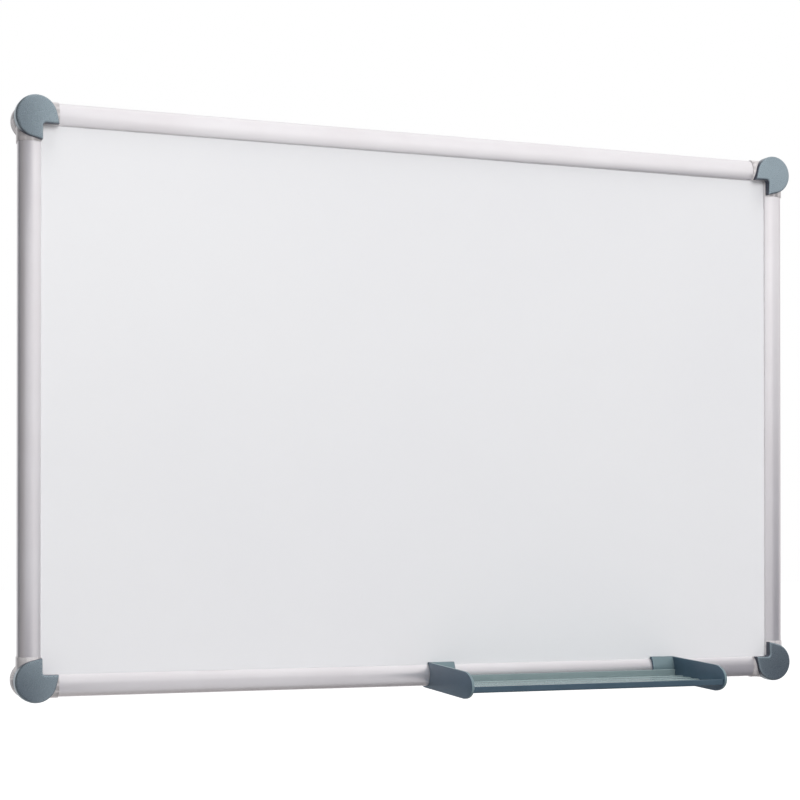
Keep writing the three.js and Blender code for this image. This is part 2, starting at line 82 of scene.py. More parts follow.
TROUGH_RISE, TROUGH_FALL, TROUGH_HEIGHT, TROUGH_LIP = 3.6, 3.6, 7.8, 6.7
TROUGH_WALL, TROUGH_FLOOR, TROUGH_SETBACK, TROUGH_GAP = 1.7, 1.6, 2.8, 0.02
RIB_COUNT, RIB_WIDTH, RIB_HEIGHT = 5, 1.6, 0.7

# Heights above the wall that follow from these
SHOULDER = WALL_GAP + SHOULDER_RISE
CROWN = SHOULDER + CROWN_RISE
LIP = CROWN - LIP_DROP
GROOVE_FRONT = LIP - LIP_WALL
SHEET_FRONT = GROOVE_FRONT - PANEL_FIT
GROOVE_BACK = SHEET_FRONT - PANEL_DEPTH - PANEL_FIT
CAP_FACE = CROWN + CAP_STAND
SKIRT = BODY_FRONT + FIT
CLIP_GROWTH = FIT + CLIP_WALL
CLIP_FOOT = SHEET_FRONT + CLIP_CLEAR

# Roundings that the solids leave out
CAP_EDGE, CAP_DOME = 2.2, 0.8
LIP_ROUND, CORNER_ROUND, SHARPEST_ROUND = 0.6, 0.9, 0.05
CHEEK_EDGE, CLIP_EDGE, TROUGH_ROUND = 0.6, 0.4, 1.8

# Steps along the curves, and rings of each piece
BAR_STEPS, BAR_RINGS, LIP_STEPS = 18, 9, 6
RIM_STEPS, TANGENT_STEPS, LOBE_STEPS, NOTCH_STEPS, FILLET_STEPS = 96, 16, 5, 10, 12
FACE_RINGS, EDGE_RINGS, PRONG_STEPS = 16, 7, 24
SLAB_RINGS, NOSE_STEPS = 5, 16
DECK_POINTS, TROUGH_RINGS, TROUGH_LIP_STEPS, TROUGH_ROUND_STEPS = 241, 9, 8, 6

# Points closer than this are merged, in an outline's millimetres and a mesh's metres
DOUBLED = 1e-6
# An edge stays sharp from this angle on, in degrees, on new pieces and on copies of the solids
NEW_CREASE, COPY_CREASE = 32, 30

# Camera, matched to the four outer corners of the frame in the photograph
PHOTO_SIZE = 800
LENS_PIXELS = 1916
CENTRE_PIXEL = (340, 525.1)
SENSOR = 36
CAMERA_PLACE = Vector((-843.2, -1931.9, -140.8)) * MM
CAMERA_YAW = math.radians(21.2)
CAMERA_PITCH = math.radians(0.42)


# Scene helpers

def linear(red, green, blue):
    """A screen colour of 0 to 255 as the linear colour that shaders take: a straight foot, then a power."""
    share = np.array((red, green, blue)) / 255
    low = share / 12.92
    high = ((share + 0.055) / 1.055) ** 2.4
    return (*np.where(share <= 0.04045, low, high), 1.0)


def add_object(name, data):
    """A new object in the scene, at the origin."""
    thing = bpy.data.objects.new(name, data)
    bpy.context.scene.collection.objects.link(thing)
    return thing


# Curves and grids

def arc(middle, radii, start, end, steps):
    """Points of an ellipse arc: the middle plus the radii times cosine and sine of the angle, in degrees."""
    turn = np.radians(np.linspace(start, end, steps + 1))
    return np.column_stack((middle[0] + radii[0] * np.cos(turn), middle[1] + radii[1] * np.sin(turn)))


def bezier(points, steps):
    """A curve of three or four control points: their sum, weighed by the Bernstein polynomials."""
    share = np.linspace(0, 1, steps + 1)
    order = len(points) - 1
    weights = [math.comb(order, k) * share ** k * (1 - share) ** (order - k) for k in range(order + 1)]
    return np.column_stack(weights) @ np.array(points, float)


def line(start, end, steps):
    """Evenly spaced points from start to end."""
    return np.linspace(start, end, steps + 1)


def joined(*paths):
    """Paths one after another, as a closed outline without its doubled points."""
    outline = np.vstack([np.atleast_2d(path) for path in paths])
    moved = np.linalg.norm(outline - np.roll(outline, 1, axis=0), axis=1)
    return outline[moved > DOUBLED]


def inset_outline(outline, depth, sharpest=0.4):
    """A closed, anticlockwise outline moved inwards: each point by the sum of its two edge normals over one
    plus their dot product, which stays above a least value so that sharp corners keep close."""
    edge = np.roll(outline, -1, axis=0) - outline
    normal = np.column_stack((-edge[:, 1], edge[:, 0])) / np.linalg.norm(edge, axis=1)[:, None]
    before = np.roll(normal, 1, axis=0)
    stretch = np.maximum(1 + np.sum(normal * before, axis=1), sharpest)
    return outline + depth * (normal + before) / stretch[:, None]


def ring_faces(rings, length):
    """The four-cornered faces between neighbouring closed rings of a grid with rings of that length."""
    row = np.arange(rings - 1)[:, None] * length
    step = np.arange(length)[None, :]
    after = (step + 1) % length
    return np.stack((row + step, row + after, row + length + after, row + length + step), -1).reshape(-1, 4)


def on_bar(side, along, across, height):
    """Places along a bar of the frame, inwards from its outer edge and out from the wall, in metres."""
    along, across, height = np.broadcast_arrays(along, across, height)
    if side in ("bottom", "top"):
        edge = BOARD_HEIGHT / 2 - across
        place = (along, -height, -edge if side == "bottom" else edge)
    else:
        edge = BOARD_WIDTH / 2 - across
        place = (-edge if side == "left" else edge, -height, along)
    return np.stack(place, -1) * MM


def at_corner(corner, across, upright, height):
    """Places at a corner, from its middle towards the board both ways and out from the wall, in metres."""
    across, upright, height = np.broadcast_arrays(across, upright, height)
    right = -1 if corner.endswith("right") else 1
    down = -1 if corner.startswith("top") else 1
    place = (
        right * (across - BOARD_WIDTH / 2 + CORNER_INSET),
        -height,
        down * (upright - BOARD_HEIGHT / 2 + CORNER_INSET),
    )
    return np.stack(place, -1) * MM


def shell(rings, ends="fan"):
    """A closed skin over a stack of rings (rings x points x 3), as its points and its groups of faces. Both
    ends are shut, by a fan to the ring's middle or by flat triangles."""
    count, length = rings.shape[:2]
    points = rings.reshape(-1, 3)
    groups = [ring_faces(count, length)]
    for first in (0, (count - 1) * length):
        ring = np.arange(first, first + length)
        if ends == "fan":
            middle = np.full(length, len(points))
            points = np.vstack((points, points[ring].mean(axis=0)))
            groups.append(np.column_stack((ring, np.roll(ring, -1), middle)))
        else:
            groups.append(np.array(tessellate_polygon([points[ring].tolist()])) + first)
    return points, groups


def make_piece(name, skins, material, node, body):
    """One piece of several closed skins, shaded smooth over its curves, in place of a CAD node."""
    points, faces, start = [], [], 0
    for skin_points, groups in skins:
        for group in groups:
            faces += (group + start).tolist()
        points.append(skin_points)
        start += len(skin_points)
    mesh = bpy.data.meshes.new(name)
    mesh.from_pydata(np.vstack(points).tolist(), [], faces)
    finish_piece(name, mesh, material, node, body, NEW_CREASE)


def finish_piece(name, mesh, material, node, body, crease):
    """Merges doubled points, turns the faces outwards, hides the CAD node and attaches the piece to its body.
    """
    work = bmesh.new()
    work.from_mesh(mesh)
    bmesh.ops.remove_doubles(work, verts=work.verts, dist=DOUBLED)
    bmesh.ops.recalc_face_normals(work, faces=work.faces)
    work.to_mesh(mesh)
    work.free()
    mesh.polygons.foreach_set("use_smooth", [True] * len(mesh.polygons))
    mesh.set_sharp_from_angle(angle=math.radians(crease))
    mesh.materials.clear()
    mesh.materials.append(material)
    piece = add_object(name, mesh)
    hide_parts(node)
    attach(piece, body)


def smooth_copy(node, material, body):
    """A copy of the CAD node's own mesh, merged and shaded smooth over its curves."""
    finish_piece(f"{node}_skin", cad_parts[node].data.copy(), material, node, body, COPY_CREASE)


# Frame bars

def bar_front(growth, hook=None):
    """The bar's front, from the back round to the inner edge: a quarter ellipse up the side, a second one up
    to the crown, then a parabola that falls to the lip. A hook height starts it higher up the side."""
    low = -90 if hook is None else math.degrees(math.asin((hook - SHOULDER) / (SHOULDER_RISE + growth)))
    radii = (BACK_INSET + growth, SHOULDER_RISE + growth)
    side = arc((BACK_INSET, SHOULDER), radii, -180 - low, -180, BAR_STEPS)
    over = arc((CROWN_INSET, SHOULDER), (CROWN_INSET + growth, CROWN_RISE + growth), 180, 90, BAR_STEPS)
    middle = (CROWN_INSET + FRAME_WIDTH) / 2
    crown = CROWN + growth
    fall = bezier(((CROWN_INSET, crown), (middle, crown), (FRAME_WIDTH + growth, LIP + growth)), BAR_STEPS)
    return np.vstack((side, over[1:], fall[1:]))


def bar_outline():
    """The extruded section: its front, the rounded lip, the groove for the panel, and the ledge behind it."""
    floor = FRAME_WIDTH - GROOVE_DEPTH
    front = bar_front(0)
    lip_start = front[front[:, 0] < FRAME_WIDTH - LIP_ROUND]
    corner = (FRAME_WIDTH, LIP)
    round_lip = bezier((lip_start[-1], corner, (FRAME_WIDTH, LIP - LIP_ROUND)), LIP_STEPS)[1:]
    groove = [
        (FRAME_WIDTH, GROOVE_FRONT), (floor, GROOVE_FRONT), (floor, GROOVE_BACK), (FRAME_WIDTH, GROOVE_BACK),
        (FRAME_WIDTH, GROOVE_BACK - LEDGE_WALL), (floor, GROOVE_BACK - LEDGE_WALL), (floor, WALL_GAP),
    ]
    return joined(lip_start, round_lip, groove)


def make_bar(side, material):
    """The section carried straight along the bar, between the corner bodies."""
    outline = bar_outline()
    length = BOARD_WIDTH if side in ("bottom", "top") else BOARD_HEIGHT
    end = length / 2 - CORNER_INSET - BAR_START
    along = np.linspace(-end, end, BAR_RINGS)[:, None]
    skin = shell(on_bar(side, along, outline[None, :, 0], outline[None, :, 1]), "flat")
    make_piece(f"bar_{side}", [skin], material, f"frame_{side}", "board")


# Corner caps

def bar_height(across, growth):
    """How far the bar's front, grown by a clearance, stands off the wall at a place across it: the height of
    the quarter ellipse up to the crown, and past it that of the parabola, from its quadratic in the share."""
    side = np.clip((CROWN_INSET - across) / (CROWN_INSET + growth), -1, 1)
    over = SHOULDER + (CROWN_RISE + growth) * np.sqrt(1 - side ** 2)
    past = np.maximum(across - CROWN_INSET, 0)
    run = FRAME_WIDTH - CROWN_INSET
    share = (np.sqrt(run ** 2 + 4 * growth * past) - run) / (2 * growth)
    return np.where(across < CROWN_INSET, over, CROWN + growth - LIP_DROP * share ** 2)


def cap_outline(inset):
    """The cap from the front: a circle, a straight tangent along each bar to the lobe's rounded corner, and
    the notch with its fillet. Every inset gives the same number of points."""
    radius, reach = CAP_RADIUS - inset, LOBE_REACH - inset
    edge = FRAME_WIDTH - CORNER_INSET - inset
    fillet = NOTCH_FILLET + inset
    touch = math.degrees(math.atan2(reach, edge) + math.acos(radius / math.hypot(reach, edge)))
    rim = arc((0, 0), (radius, radius), touch, 360 + 90 - touch, RIM_STEPS)
    corner = np.array((reach, edge))
    back = rim[-1] - corner
    turn = max(CORNER_ROUND - inset, SHARPEST_ROUND)
    lobe = corner + back / np.linalg.norm(back) * turn
    inner = corner - (turn, 0)
    tangent = line(rim[-1], lobe, TANGENT_STEPS)[1:]
    right = np.vstack((tangent, bezier((lobe, corner, inner), LOBE_STEPS)[1:]))
    notch = arc((edge + fillet, edge + fillet), (fillet, fillet), 270, 180, FILLET_STEPS)
    side = line(inner, notch[0], NOTCH_STEPS)[1:]
    half = np.vstack((right, side))
    return np.vstack((rim, half, notch[1:-1], half[::-1, ::-1]))


def cap_foot(outline):
    """Height of the cap's lower edge: on the corner body, or clear over whichever collar passes under it."""
    clear = FIT + COLLAR_WALL + FIT
    over_lying = (outline[:, 0] > BAR_START - clear) & (outline[:, 1] + CORNER_INSET > -clear)
    over_upright = (outline[:, 1] > BAR_START - clear) & (outline[:, 0] + CORNER_INSET > -clear)
    lying = np.where(over_lying, bar_height(outline[:, 1] + CORNER_INSET, clear), 0)
    upright = np.where(over_upright, bar_height(outline[:, 0] + CORNER_INSET, clear), 0)
    return np.maximum(np.maximum(lying, upright), SKIRT)


def cap_top(outline):
    """A very shallow dome: it falls with the square of the distance from the middle."""
    return CAP_FACE - CAP_DOME * np.sum(outline ** 2, axis=1) / CAP_RADIUS ** 2


def cap_shell(corner):
    """Rings from the middle of the face out to the rim, round its edge by the cosine and sine of the turn,
    down the wall, and back under it."""
    edge = cap_outline(CAP_EDGE)
    innermost, outermost, under_share = 0.04, 0.96, 0.5
    rings = [(edge * share, cap_top(edge * share)) for share in np.linspace(innermost, outermost, FACE_RINGS)]
    for turn in np.radians(np.linspace(90, 0, EDGE_RINGS)):
        outline = cap_outline(CAP_EDGE * (1 - math.cos(turn)))
        rings.append((outline, cap_top(outline) - CAP_EDGE * (1 - math.sin(turn))))
    wall, inside = cap_outline(0), cap_outline(CAP_WALL)
    under = np.full(len(inside), CAP_FACE - CAP_PLATE)
    rings += [(wall, cap_foot(wall)), (inside, cap_foot(inside))]
    rings += [(inside, under), (inside * under_share, under)]
    return shell(np.stack([at_corner(corner, o[:, 0], o[:, 1], h) for o, h in rings]))


def prong(corner, x, y):
    """A round prong turned from its profile, a straight side and a chamfered end."""
    turn = np.radians(np.arange(PRONG_STEPS) * 360 / PRONG_STEPS)
    low, top = BODY_FRONT - PRONG_LENGTH, CAP_FACE - CAP_PLATE + FIT
    profile = [(PRONG_RADIUS, top), (PRONG_RADIUS, low + PRONG_TIP), (PRONG_RADIUS - PRONG_TAPER, low)]
    rings = [at_corner(corner, x + r * np.cos(turn), y + r * np.sin(turn), h) for r, h in profile]
    return shell(np.stack(rings))


def make_cap(corner, material):
    """The cap with its three prongs, one on the diagonal and one near each of the two axes."""
    diagonal = PRONG_CIRCLE * math.sqrt(0.5)
    places = ((-diagonal, -diagonal), (-PRONG_CIRCLE, PRONG_OFF_AXIS), (PRONG_OFF_AXIS, -PRONG_CIRCLE))
    skins = [cap_shell(corner)] + [prong(corner, x, y) for x, y in places]
    make_piece(f"cap_{corner}_skin", skins, material, f"corner_cap_{corner}", f"cap_{corner}")


# Pen tray

def slab_rings(outline, low, high, edge):
    """A flat slab from one place along the bar to another, its rims rounded: the outline moves inwards as the
    cosine of the turn and along as its sine."""
    turns = np.radians(np.linspace(0, 90, SLAB_RINGS))
    moves = [(inset_outline(outline, edge * (1 - math.cos(t))), edge * (1 - math.sin(t))) for t in turns]
    first = [(shape, low + move) for shape, move in moves[::-1]]
    last = [(shape, high - move) for shape, move in moves]
    return np.stack([
        on_bar("bottom", np.full(len(shape), TRAY_LEFT + along), shape[:, 0], shape[:, 1])
        for shape, along in first + last
    ])


def clip_inside():
    """The clip's inner face, from its lug down to its hook."""
    inner = bar_front(FIT, hook=CLIP_HOOK)
    return np.vstack(((FRAME_WIDTH + FIT, CLIP_FOOT), inner[::-1]))


def cheek_outline():
    """A cheek from the side: the clip's hook, the lower edge out to the round nose, and back to the lug. The
    nose is two cubic curves, whose control points lie a share of the way to the corner."""
    start = TRAY_REACH - CHEEK_ROUND
    tangent = TRAY_REACH - CHEEK_ROUND * (1 - CHEEK_CURVE)
    top = FRAME_WIDTH + CLIP_GROWTH - CHEEK_FALL
    lower = CHEEK_NOSE - (CHEEK_NOSE + CHEEK_DROP) * CHEEK_CURVE
    upper = CHEEK_NOSE + (top - CHEEK_NOSE) * CHEEK_CURVE
    tip = (CHEEK_NOSE, TRAY_REACH)
    outer = bar_front(CLIP_GROWTH, hook=CLIP_HOOK)
    hook = outer[outer[:, 1] < SHOULDER]
    nose = bezier(((-CHEEK_DROP, start), (-CHEEK_DROP, tangent), (lower, TRAY_REACH), tip), NOSE_STEPS)
    crest = bezier((tip, (upper, TRAY_REACH), (top, tangent), (top, start)), NOSE_STEPS)
    lug = [(FRAME_WIDTH + CLIP_GROWTH, LIP), (FRAME_WIDTH + CLIP_GROWTH, CLIP_FOOT)]
    return joined(hook, (-CLIP_GROWTH, SHOULDER), nose, crest, lug, clip_inside())


def clip_outline():
    """The clip's section: its outer and inner faces over the bar, with the lug on the inner lip."""
    outer = bar_front(CLIP_GROWTH, hook=CLIP_HOOK)
    return joined(outer, (FRAME_WIDTH + CLIP_GROWTH, CLIP_FOOT), clip_inside())


def make_bracket(side, material):
    """A bracket at one end of the tray: its cheek, and its clip a little inside of that."""
    cheek, clip = cheek_outline()[::-1], clip_outline()[::-1]
    cheek_span, clip_span = (0, CHEEK_WALL), (CLIP_SETBACK, CLIP_WIDTH)
    if side == "right":
        cheek_span = (TRAY_LENGTH - CHEEK_WALL, TRAY_LENGTH)
        clip_span = (TRAY_LENGTH - CLIP_WIDTH, TRAY_LENGTH - CLIP_SETBACK)
    skins = [
        shell(slab_rings(cheek, *cheek_span, CHEEK_EDGE), "flat"),
        shell(slab_rings(clip, *clip_span, CLIP_EDGE), "flat"),
    ]
    name = f"tray_bracket_{side}"
    make_piece(f"{name}_skin", skins, material, name, "tray")


def trough_outline():
    """The trough's section: a base that falls towards the front, the front lip, the floor above the base with
    raised-cosine ribs, and the back wall."""
    back = CROWN + CLIP_GROWTH + FIT
    front = TRAY_REACH - TROUGH_SETBACK
    round_top = TROUGH_WALL / 2
    heights = np.linspace(front - TROUGH_WALL, back + TROUGH_WALL, DECK_POINTS)
    base = TROUGH_RISE - TROUGH_FALL * (heights - back) / (front - back)
    pitch = (front - back - TROUGH_WALL * 2) / (RIB_COUNT + 1)
    phase = np.abs((heights - back - TROUGH_WALL + pitch / 2) % pitch - pitch / 2)
    inner = (heights > back + TROUGH_WALL + pitch / 2) & (heights < front - TROUGH_WALL - pitch / 2)
    ribs = np.where(inner & (phase < RIB_WIDTH / 2), np.cos(phase / RIB_WIDTH * math.pi) ** 2, 0)
    deck = np.column_stack((base + TROUGH_FLOOR + RIB_HEIGHT * ribs, heights))
    low = TROUGH_RISE - TROUGH_FALL
    high = TROUGH_RISE + TROUGH_HEIGHT
    radii = (round_top, round_top)
    lip = arc((low + TROUGH_LIP - round_top, front - round_top), radii, 90, -90, TROUGH_LIP_STEPS)
    rear = arc((high - round_top, back + round_top), radii, 90, -90, TROUGH_LIP_STEPS)
    rounded = ((low, front - TROUGH_ROUND), (low, front), (low + TROUGH_ROUND, front))
    corner = bezier(rounded, TROUGH_ROUND_STEPS)
    return joined((TROUGH_RISE, back), corner, lip, deck, rear)


def make_trough(material):
    """The section carried straight from cheek to cheek."""
    outline = trough_outline()
    start, end = CHEEK_WALL + TROUGH_GAP, TRAY_LENGTH - CHEEK_WALL - TROUGH_GAP
    along = np.linspace(start, end, TROUGH_RINGS)[:, None] + TRAY_LEFT
    skin = shell(on_bar("bottom", along, outline[None, :, 0], outline[None, :, 1]), "flat")
    make_piece("tray_trough_skin", [skin], material, "tray_trough", "tray")


# Shader node helpers

def set_sockets(tree, node, **sockets):
    """Gives named sockets of a node their links, or their values straight on the socket."""
    for key, value in sockets.items():
        socket = node.inputs[key.replace("_", " ")]
        if isinstance(value, bpy.types.NodeSocket):
            tree.links.new(value, socket)
        else:
            socket.default_value = value


def add_node(tree, kind, settings=(), **sockets):
    """One shader node, with its settings and the values or links of its named sockets."""
    node = tree.nodes.new(kind)
    for key, value in dict(settings).items():
        setattr(node, key, value)
    set_sockets(tree, node, **sockets)
    return node


def new_material(name):
    """A material with nothing but its shader: the material, its node tree and the shader."""
    material = bpy.data.materials.new(name)
    material.use_nodes = True
    tree = material.node_tree
    return material, tree, tree.nodes["Principled BSDF"]


def place_on(tree, stretch=(1, 1, 1)):
    """The surface's own place, in object coordinates, scaled by stretch along each axis."""
    place = add_node(tree, "ShaderNodeTexCoord").outputs["Object"]
    return add_node(tree, "ShaderNodeMapping", Vector=place, Scale=stretch).outputs["Vector"]


def facing(tree):
    """The way the surface faces: its normal, in object coordinates."""
    return add_node(tree, "ShaderNodeTexCoord").outputs["Normal"]


def part_of(tree, vector, axis):
    """One part of a vector: its X, Y or Z."""
    return add_node(tree, "ShaderNodeSeparateXYZ", Vector=vector).outputs[axis]


def noise(tree, place, scale, detail=3, roughness=0.5):
    """Cloudy noise around a half, with so many clouds to the metre."""
    node = add_node(tree, "ShaderNodeTexNoise", Vector=place, Scale=scale, Detail=detail, Roughness=roughness)
    return node.outputs["Fac"]


def spread(tree, value, low, high, start=0.3, end=0.7):
    """A value, such as a noise, carried over from its range of start to end to the range of low to high."""
    span = {"From_Min": start, "From_Max": end, "To_Min": low, "To_Max": high}
    return add_node(tree, "ShaderNodeMapRange", Value=value, **span).outputs["Result"]


def combine(tree, operation, value, *others):
    """Values taken together one after another by an operation such as MULTIPLY or ADD."""
    for other in others:
        node = add_node(tree, "ShaderNodeMath", {"operation": operation})
        tree.links.new(value, node.inputs[0])
        tree.links.new(other, node.inputs[1])
        value = node.outputs[0]
    return value


def blend_colours(tree, share, first, second):
    """The first colour where the share is 0, the second where it is 1."""
    node = add_node(tree, "ShaderNodeMix", {"data_type": "RGBA"}, Factor=share, A=first, B=second)
    return node.outputs["Result"]


def blend_shaders(tree, share, first, second):
    """The first shader where the share is 0, the second where it is 1."""
    node = add_node(tree, "ShaderNodeMixShader", Fac=share)
    tree.links.new(first, node.inputs[1])
    tree.links.new(second, node.inputs[2])
    return node.outputs[0]


def bump(tree, height, strength, distance):
    """A fine relief from a height of 0 to 1, of that distance in metres."""
    node = add_node(tree, "ShaderNodeBump", Height=height, Strength=strength, Distance=distance)
    return node.outputs["Normal"]


# Finishes

# Noise on the mouldings, in clouds to the metre: the drift of tone, the mould's grain and the sprayed grain
DRIFT_SCALE, GRAIN_SCALE, SPRAY_SCALE = 30, 1100, 1500
# How far behind its front face the trough's painted light starts, and where it is full, in millimetres
PAINTED_LIGHT_START, PAINTED_LIGHT_FULL = 0.3, 1.2


def slow_drift(tree, place):
    """A slow drift of tone over a moulding, from 0 to 1."""
    return spread(tree, noise(tree, place, DRIFT_SCALE), 0, 1)


def white_enamel():
    """Baked white enamel: a faint orange peel, and a haze of wiped-off ink in the gloss."""
    material, tree, shader = new_material("white_enamel")
    place = place_on(tree)
    cloud = spread(tree, noise(tree, place, scale=2.2, detail=4), 0, 1)
    wiped = noise(tree, place_on(tree, stretch=(1, 1, 2)), scale=5, detail=2)
    peel = noise(tree, place, scale=420, detail=2)
    set_sockets(
        tree, shader,
        Base_Color=blend_colours(tree, cloud, linear(232, 232, 234), linear(229, 229, 232)),
        Roughness=spread(tree, wiped, 0.23, 0.27),
        Normal=bump(tree, peel, strength=0.05, distance=0.00004),
        Specular_IOR_Level=0.4,
    )
    return material


def satin_aluminium(name, along):
    """Satin anodised aluminium, with fine die lines that run along the bar, much closer across it."""
    material, tree, shader = new_material(name)
    closer = 60
    stretch = tuple(1 if axis == along else closer for axis in range(3))
    lines = noise(tree, place_on(tree, stretch), scale=30, detail=5, roughness=0.65)
    cloud = spread(tree, noise(tree, place_on(tree), scale=14), 0, 1)
    set_sockets(
        tree, shader,
        Base_Color=blend_colours(tree, cloud, linear(241, 238, 240), linear(236, 232, 234)),
        Roughness=spread(tree, lines, 0.32, 0.4),
        Normal=bump(tree, lines, strength=0.12, distance=0.00003),
        Metallic=0.78,
    )
    return material


def silver_plastic():
    """Silver-grey moulded plastic with a fine spark-eroded grain and a sheen of metallic flake."""
    material, tree, shader = new_material("corner_body")
    place = place_on(tree)
    grain = noise(tree, place, GRAIN_SCALE, detail=2)
    set_sockets(
        tree, shader,
        Base_Color=blend_colours(tree, slow_drift(tree, place), linear(228, 224, 224), linear(220, 215, 215)),
        Roughness=spread(tree, grain, 0.37, 0.43),
        Normal=bump(tree, grain, strength=0.05, distance=0.00003),
        Metallic=0.6,
    )
    return material


def facing_out(tree, place):
    """How far the surface faces away from the board's middle: its normal's X and Z, each with the sign of its
    place, added up."""
    sign = add_node(tree, "ShaderNodeVectorMath", {"operation": "SIGN"}, Vector=place).outputs["Vector"]
    turned = add_node(tree, "ShaderNodeVectorMath", {"operation": "MULTIPLY"})
    tree.links.new(facing(tree), turned.inputs[0])
    tree.links.new(sign, turned.inputs[1])
    parts = add_node(tree, "ShaderNodeSeparateXYZ", Vector=turned.outputs["Vector"]).outputs
    return combine(tree, "ADD", parts["X"], parts["Z"])


def satin_cap_with_painted_shade():
    """Dark moulded plastic with a satin spray on its front and round its outside. The walls towards the board
    keep the dark colour as painted shade."""
    material, tree, shader = new_material("corner_cap")
    place = place_on(tree)
    drift = slow_drift(tree, place)
    grain = noise(tree, place, SPRAY_SCALE, detail=2)
    in_front = spread(tree, part_of(tree, facing(tree), "Y"), 1, 0, start=-0.7, end=-0.25)
    outside = spread(tree, facing_out(tree, place), 0, 1, start=-0.2, end=0.5)
    # painted shade: walls that face neither forward nor away from the board's middle take the dark colour,
    # not the satin
    satin_share = combine(tree, "MAXIMUM", in_front, outside)
    moulded = blend_colours(tree, drift, linear(50, 57, 76), linear(45, 52, 70))
    satin = blend_colours(tree, drift, linear(151, 165, 173), linear(146, 160, 168))
    set_sockets(
        tree, shader,
        Base_Color=blend_colours(tree, satin_share, moulded, satin),
        Metallic=spread(tree, satin_share, 0, 0.8, start=0, end=1),
        Roughness=spread(tree, grain, 0.27, 0.285),
        Normal=bump(tree, grain, strength=0.006, distance=0.00002),
    )
    return material


def bracket_with_painted_sheen():
    """The tray's dark plastic, with a paler colour wherever the bracket faces up, down or forward: a painted
    sheen.
    """
    material, tree, shader = new_material("tray_bracket")
    place = place_on(tree)
    drift = slow_drift(tree, place)
    grain = noise(tree, place, GRAIN_SCALE, detail=2)
    edgewise = add_node(tree, "ShaderNodeVectorMath", {"operation": "ABSOLUTE"}, Vector=facing(tree))
    # painted sheen: every face but the cheeks' sides takes the paler colour
    sheen = spread(tree, part_of(tree, edgewise.outputs["Vector"], "X"), 1, 0, start=0.4, end=0.85)
    side = blend_colours(tree, drift, linear(80, 104, 123), linear(73, 97, 116))
    pale = blend_colours(tree, drift, linear(124, 143, 148), linear(117, 136, 142))
    set_sockets(
        tree, shader,
        Base_Color=blend_colours(tree, sheen, side, pale),
        Roughness=spread(tree, grain, 0.31, 0.36),
        Normal=bump(tree, grain, strength=0.06, distance=0.00003),
        Metallic=0.25,
    )
    return material


def scuffed_trough_with_painted_light():
    """The tray's dark plastic, scuffed along its length by pens, and paler but for the front lip's face and
    the
    underside: painted light."""
    material, tree, shader = new_material("tray_trough")
    place = place_on(tree)
    drift = slow_drift(tree, place)
    scuffs = noise(tree, place_on(tree, stretch=(1, 14, 14)), scale=60, detail=4)
    face = TROUGH_SETBACK - TRAY_REACH
    behind = spread(tree, part_of(tree, place, "Y"), 0, 1, (face + PAINTED_LIGHT_START) * MM, (face + PAINTED_LIGHT_FULL) * MM)
    upward = spread(tree, part_of(tree, facing(tree), "Z"), 0, 1, start=-0.6, end=-0.2)
    # painted light: faces behind the front lip that don't face down take the paler colour
    painted_light = combine(tree, "MULTIPLY", behind, upward)
    moulded = blend_colours(tree, drift, linear(72, 92, 106), linear(66, 86, 100))
    pale = blend_colours(tree, drift, linear(142, 159, 160), linear(134, 151, 153))
    set_sockets(
        tree, shader,
        Base_Color=blend_colours(tree, painted_light, moulded, pale),
        Roughness=spread(tree, scuffs, 0.2, 0.27),
        Normal=bump(tree, scuffs, strength=0.04, distance=0.00003),
        Metallic=0.25,
    )
    return material


def zinc_steel():
    """Bright zinc on a steel screw, dulled in patches."""
    material, tree, shader = new_material("screw_zinc")
    patches = noise(tree, place_on(tree), scale=700, detail=4)
    dulled = spread(tree, patches, 0, 1)
    set_sockets(
        tree, shader,
        Base_Color=blend_colours(tree, dulled, linear(206, 208, 212), linear(176, 179, 186)),
        Roughness=spread(tree, patches, 0.22, 0.42),
        Metallic=1.0,
    )
    return material


def pressed_fibre():
    """The pressed wood fibre of the core, flecked along its layers."""
    material, tree, shader = new_material("core_board")
    flecks = noise(tree, place_on(tree, stretch=(1, 6, 1)), scale=260, detail=6, roughness=0.7)
    dark_flecks = spread(tree, flecks, 0, 1)
    set_sockets(
        tree, shader,
        Base_Color=blend_colours(tree, dark_flecks, linear(196, 164, 122), linear(146, 112, 76)),
        Roughness=0.9,
        Normal=bump(tree, flecks, strength=0.4, distance=0.0002),
    )
    return material


def mill_sheet():
    """Rolled backing sheet, with a grain along its length."""
    material, tree, shader = new_material("backing_sheet")
    rolled = noise(tree, place_on(tree, stretch=(1, 80, 80)), scale=8, detail=5, roughness=0.6)
    cloud = spread(tree, noise(tree, place_on(tree), scale=5), 0, 1)
    set_sockets(
        tree, shader,
        Base_Color=blend_colours(tree, cloud, linear(196, 198, 202), linear(184, 186, 190)),
        Roughness=spread(tree, rolled, 0.4, 0.55),
        Normal=bump(tree, rolled, strength=0.1, distance=0.00005),
        Metallic=0.9,
    )
    return material


def dress(node, material):
    """Gives a CAD node that stays in sight its finish."""
    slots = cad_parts[node].data.materials
    slots.clear()
    slots.append(material)


def dress_board():
    """Every finish, and every piece that takes the place of a CAD node."""
    lying = satin_aluminium("aluminium_lying", along=0)
    upright = satin_aluminium("aluminium_upright", along=2)
    body = silver_plastic()
    cap = satin_cap_with_painted_shade()
    bracket = bracket_with_painted_sheen()
    trough = scuffed_trough_with_painted_light()
    dress("writing_sheet", white_enamel())
    dress("core_board", pressed_fibre())
    dress("backing_sheet", mill_sheet())
    zinc = zinc_steel()
    for side in SIDES:
        make_bar(side, lying if side in ("bottom", "top") else upright)
    for corner in CORNERS:
        smooth_copy(f"corner_body_{corner}", body, "board")
        make_cap(corner, cap)
        for number in (1, 2):
            smooth_copy(f"leg_screw_{corner}_{number}", zinc, "board")
    make_bracket("left", bracket)
    make_bracket("right", bracket)
    make_trough(trough)


# Stage: camera, light, cards and floor, in metres

WHITE = (1, 1, 1, 1)
